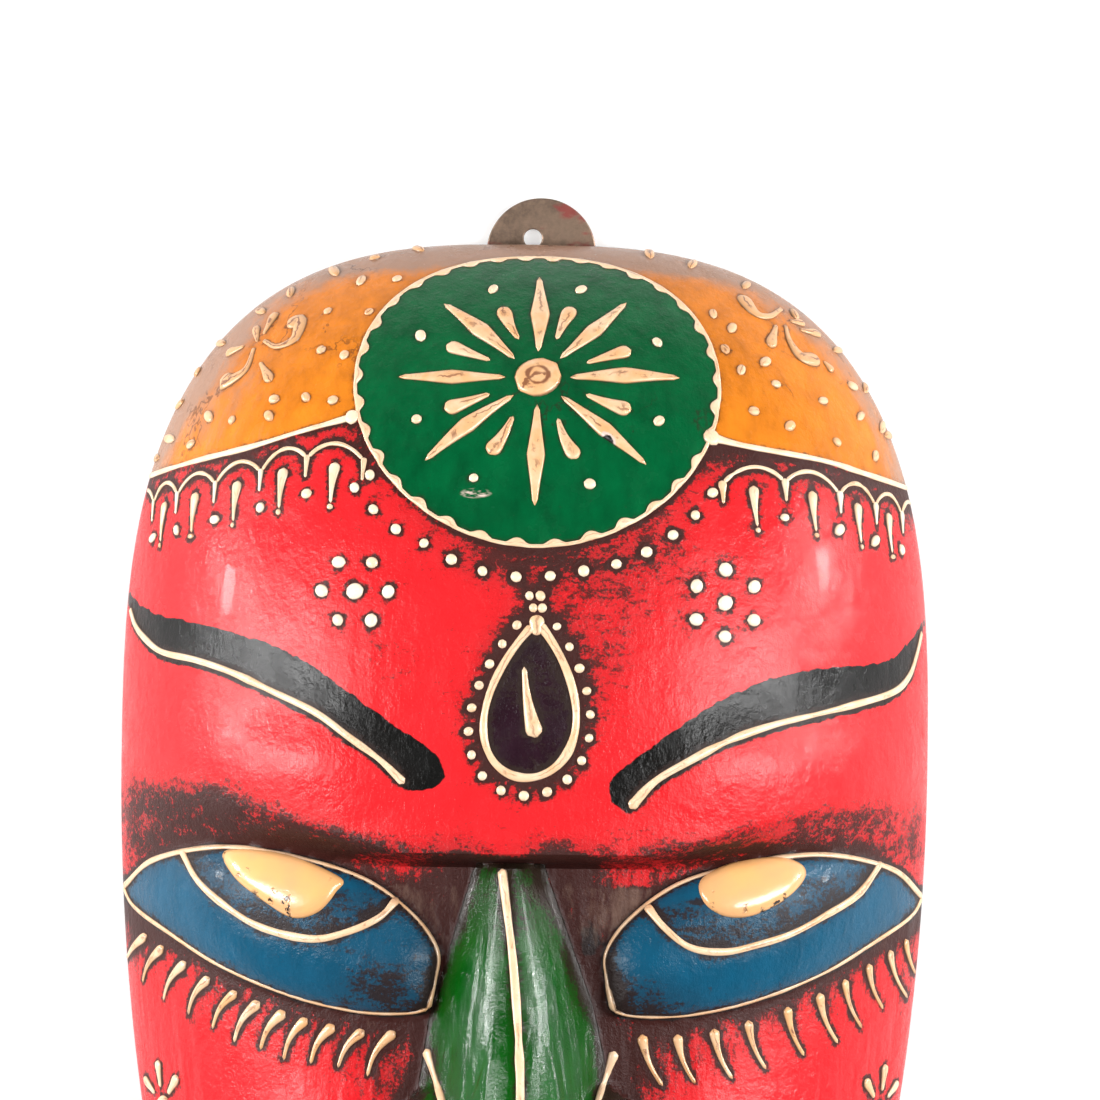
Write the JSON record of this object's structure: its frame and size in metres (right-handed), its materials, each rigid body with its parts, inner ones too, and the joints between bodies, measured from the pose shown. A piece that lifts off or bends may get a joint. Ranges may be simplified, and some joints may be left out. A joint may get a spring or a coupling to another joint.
{
  "type": "wooden wall mask",
  "caption": "Carved and painted wooden face mask with a long nose, almond eyes and a sheet-metal hanger plate behind the top, lying on its back.",
  "frame": {"origin": "under the middle of the whole object's box, on the plane that the flat back lies on", "axes": "+Z out of the face, +Y to the top of the head, +X to the right seen from the front"},
  "size_m": [0.15, 0.2888, 0.07],
  "materials": {
    "painted_wood": "glossy varnished paint with raised cream slip lines and a dark antique wash",
    "tarnished_steel": "tarnished sheet metal with dark red paint smears",
    "nail_iron": "dark iron"
  },
  "bodies": {
    "root": {"mask_body": "painted_wood", "hanger_plate": "tarnished_steel", "hanger_nail_left": "nail_iron", "hanger_nail_right": "nail_iron"}
  },
  "joints": []
}
